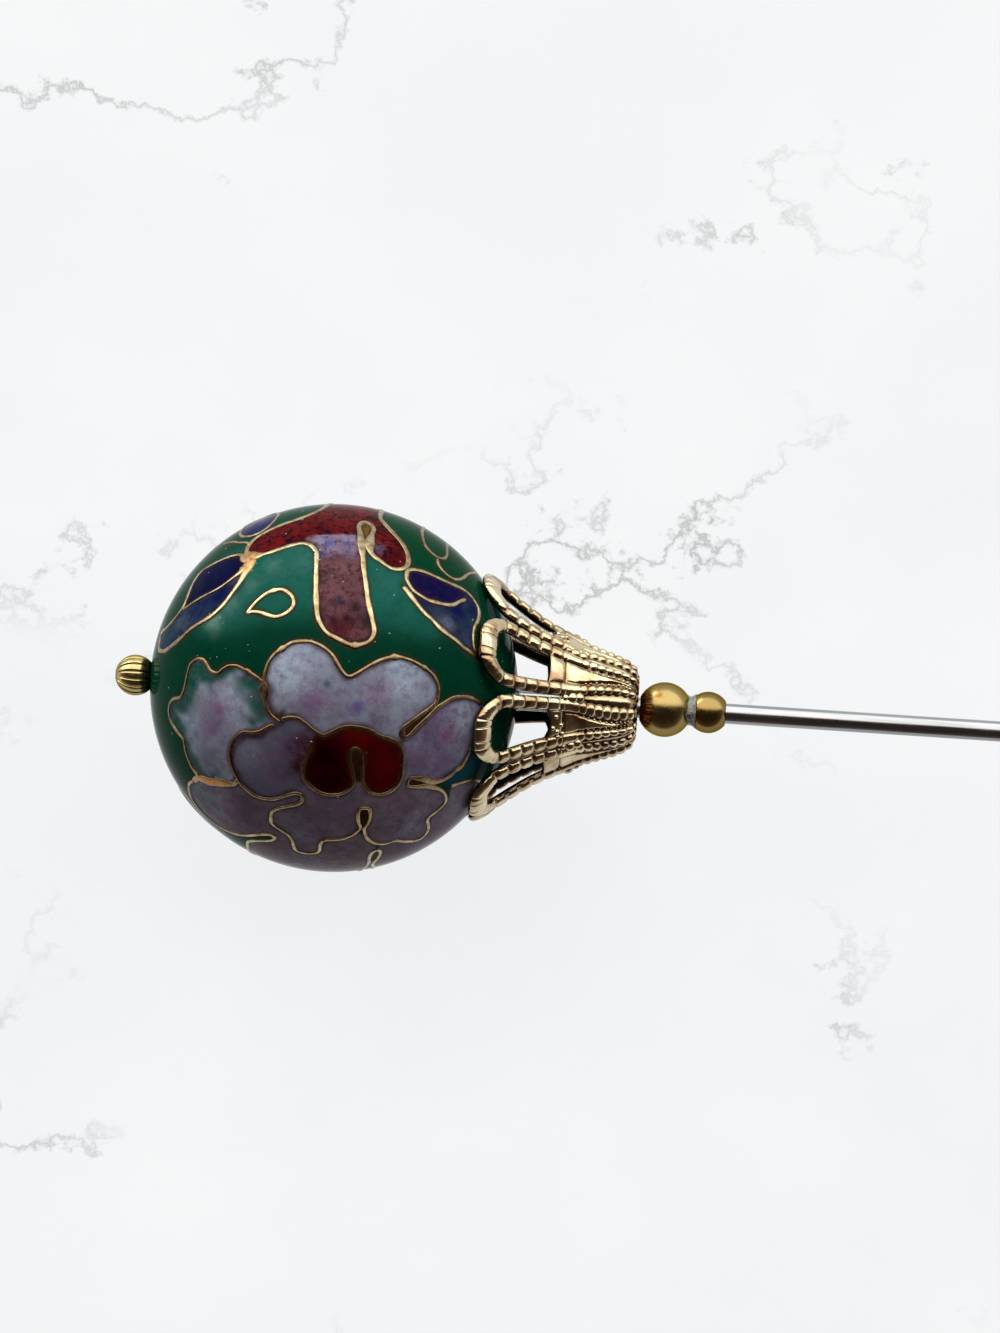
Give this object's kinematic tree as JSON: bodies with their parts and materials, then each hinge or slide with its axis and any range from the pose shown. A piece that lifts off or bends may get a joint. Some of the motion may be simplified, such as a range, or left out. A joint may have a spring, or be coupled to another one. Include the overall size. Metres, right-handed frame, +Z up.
{
  "type": "cloisonne hat pin",
  "caption": "Hat pin with a round floral cloisonne ball between a ribbed end bead and a pierced filigree cone cap, round brass beads and a long steel shaft with a tapered point.",
  "frame": {"origin": "on the surface that the pin lies on, under the middle of its outline (bottom centre of the bounding box)", "axes": "+X along the lying pin towards its point, +Z up, +Y to the side"},
  "size_m": [0.1998, 0.02, 0.0199],
  "materials": {
    "steel": "polished steel wire",
    "brass": "polished, slightly toned",
    "pale_gold": "bright pale gold plate on a stamped filigree cap",
    "enamel": "polished cloisonne enamel, green ground with a mauve flower and red and blue leaves",
    "copper": "bare copper, hidden under the enamel"
  },
  "bodies": {
    "root": {"pin_shaft": "steel", "small_bead": "brass", "large_bead": "brass", "cone_cap": "pale_gold", "enamel_shell": "enamel", "copper_core": "copper", "end_bead": "brass"}
  },
  "joints": []
}
